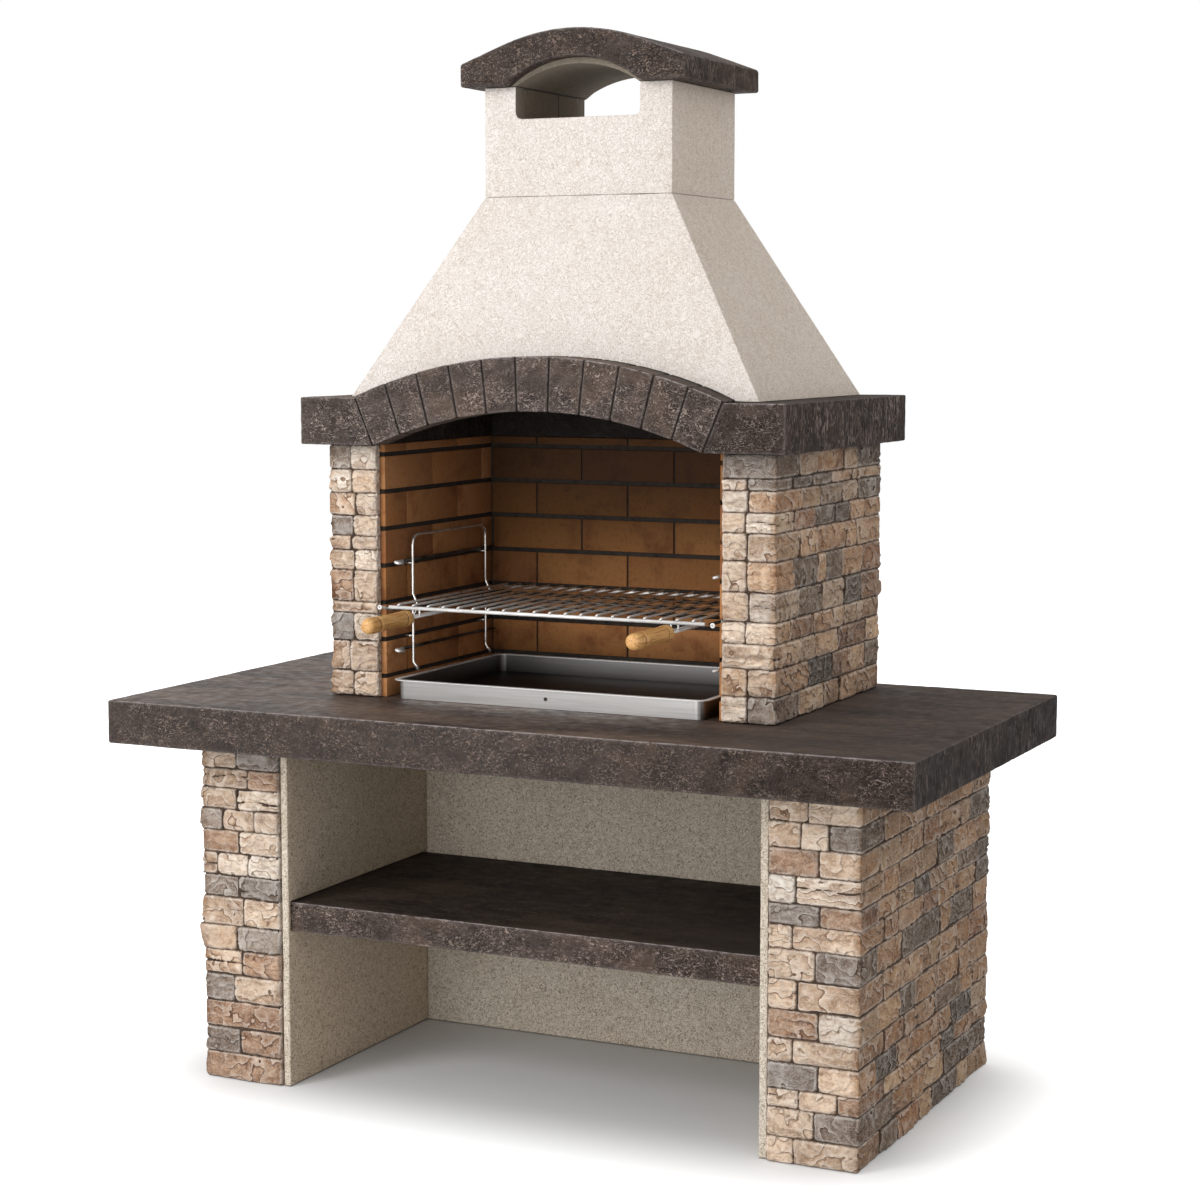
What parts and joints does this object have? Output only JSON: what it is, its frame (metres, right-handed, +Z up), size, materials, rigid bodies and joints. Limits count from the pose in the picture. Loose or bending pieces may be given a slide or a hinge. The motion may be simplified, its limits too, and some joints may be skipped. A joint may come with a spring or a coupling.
{
  "type": "outdoor masonry barbecue",
  "caption": "Free-standing masonry barbecue with a worktop on stone-clad legs, a firebrick firebox under an arch, a wire grill, an ash pan and a hood with a capped chimney.",
  "frame": {"origin": "on the floor, under the middle of the worktop", "axes": "+Z up, -Y towards the person at the fire, +X to that person's right"},
  "size_m": [1.81, 0.96, 2.25],
  "materials": {
    "dark_cast_stone": "matt, streaked dark brown",
    "cream_concrete": "gritty render, matt",
    "cladding_stone": "cleaved faces in tan, cream, brown and grey",
    "firebrick": "matt fired clay",
    "dark_mortar": "matt",
    "chrome_wire": "bright plated",
    "sheet_steel": "satin",
    "beech": "oiled, turned"
  },
  "bodies": {
    "masonry": {"base_left_leg": "cream_concrete", "base_right_leg": "cream_concrete", "base_back_panel": "cream_concrete", "shelf": "dark_cast_stone", "worktop": "dark_cast_stone", "left_leg_corner_stones": "cladding_stone", "left_leg_front_stones": "cladding_stone", "left_leg_side_stones": "cladding_stone", "right_leg_corner_stones": "cladding_stone", "right_leg_front_stones": "cladding_stone", "right_leg_side_stones": "cladding_stone", "left_jamb": "cream_concrete", "right_jamb": "cream_concrete", "firebox_back_panel": "cream_concrete", "left_jamb_corner_stones": "cladding_stone", "left_jamb_front_stones": "cladding_stone", "left_jamb_side_stones": "cladding_stone", "right_jamb_corner_stones": "cladding_stone", "right_jamb_front_stones": "cladding_stone", "right_jamb_side_stones": "cladding_stone", "back_firebricks": "firebrick", "left_firebricks": "firebrick", "right_firebricks": "firebrick", "back_brick_mortar": "dark_mortar", "left_brick_mortar": "dark_mortar", "right_brick_mortar": "dark_mortar", "mantel_left_beam": "dark_cast_stone", "mantel_right_beam": "dark_cast_stone", "mantel_back_beam": "dark_cast_stone", "voussoir_01": "dark_cast_stone", "voussoir_02": "dark_cast_stone", "voussoir_03": "dark_cast_stone", "voussoir_04": "dark_cast_stone", "voussoir_05": "dark_cast_stone", "voussoir_06": "dark_cast_stone", "voussoir_07": "dark_cast_stone", "voussoir_08": "dark_cast_stone", "voussoir_09": "dark_cast_stone", "voussoir_10": "dark_cast_stone", "voussoir_11": "dark_cast_stone", "arch_mortar": "dark_mortar", "hood_front_wall": "cream_concrete", "hood_back_wall": "cream_concrete", "hood_left_wall": "cream_concrete", "hood_right_wall": "cream_concrete", "chimney_neck": "cream_concrete", "flue_lining": "cream_concrete", "chimney_cap": "dark_cast_stone", "left_support_frame": "chrome_wire", "right_support_frame": "chrome_wire", "left_support_rails": "chrome_wire", "right_support_rails": "chrome_wire"},
    "grill": {"grill_frame_rods": "chrome_wire", "grill_bars": "chrome_wire", "left_handle_wires": "chrome_wire", "right_handle_wires": "chrome_wire", "left_handle_grip": "beech", "right_handle_grip": "beech"},
    "ash_pan": {"ash_pan": "sheet_steel", "pan_rivet": "chrome_wire"}
  },
  "joints": [
    {"name": "grill_slide", "type": "slide", "parent": "masonry", "child": "grill", "axis": [0, -1, 0], "range_m": [0, 0.5]},
    {"name": "pan_slide", "type": "slide", "parent": "masonry", "child": "ash_pan", "axis": [0, -1, 0], "range_m": [0, 0.5]}
  ]
}
